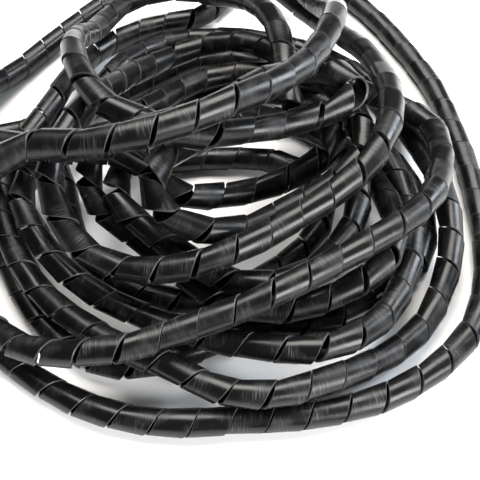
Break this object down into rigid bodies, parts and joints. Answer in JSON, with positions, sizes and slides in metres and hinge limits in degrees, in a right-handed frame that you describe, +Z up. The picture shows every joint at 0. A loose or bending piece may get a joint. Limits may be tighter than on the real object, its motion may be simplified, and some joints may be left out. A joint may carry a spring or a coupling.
{
  "type": "spiral cable wrap",
  "caption": "Black polyethylene spiral wrap for bundling cables, a round tube cut in a helix, lying in a loose heap of overlapping loops.",
  "frame": {"origin": "on the floor under the middle of the heap, the middle of its bounding box's bottom", "axes": "+Z up from the floor; +Y away from the picture's camera; +X to the picture's right"},
  "size_m": [0.2559, 0.2699, 0.0827],
  "materials": {
    "black_polyethylene": "smooth extruded black polyethylene with a soft gloss and fine handling scratches"
  },
  "bodies": {
    "root": {"spiral_wrap": "black_polyethylene"}
  },
  "joints": []
}
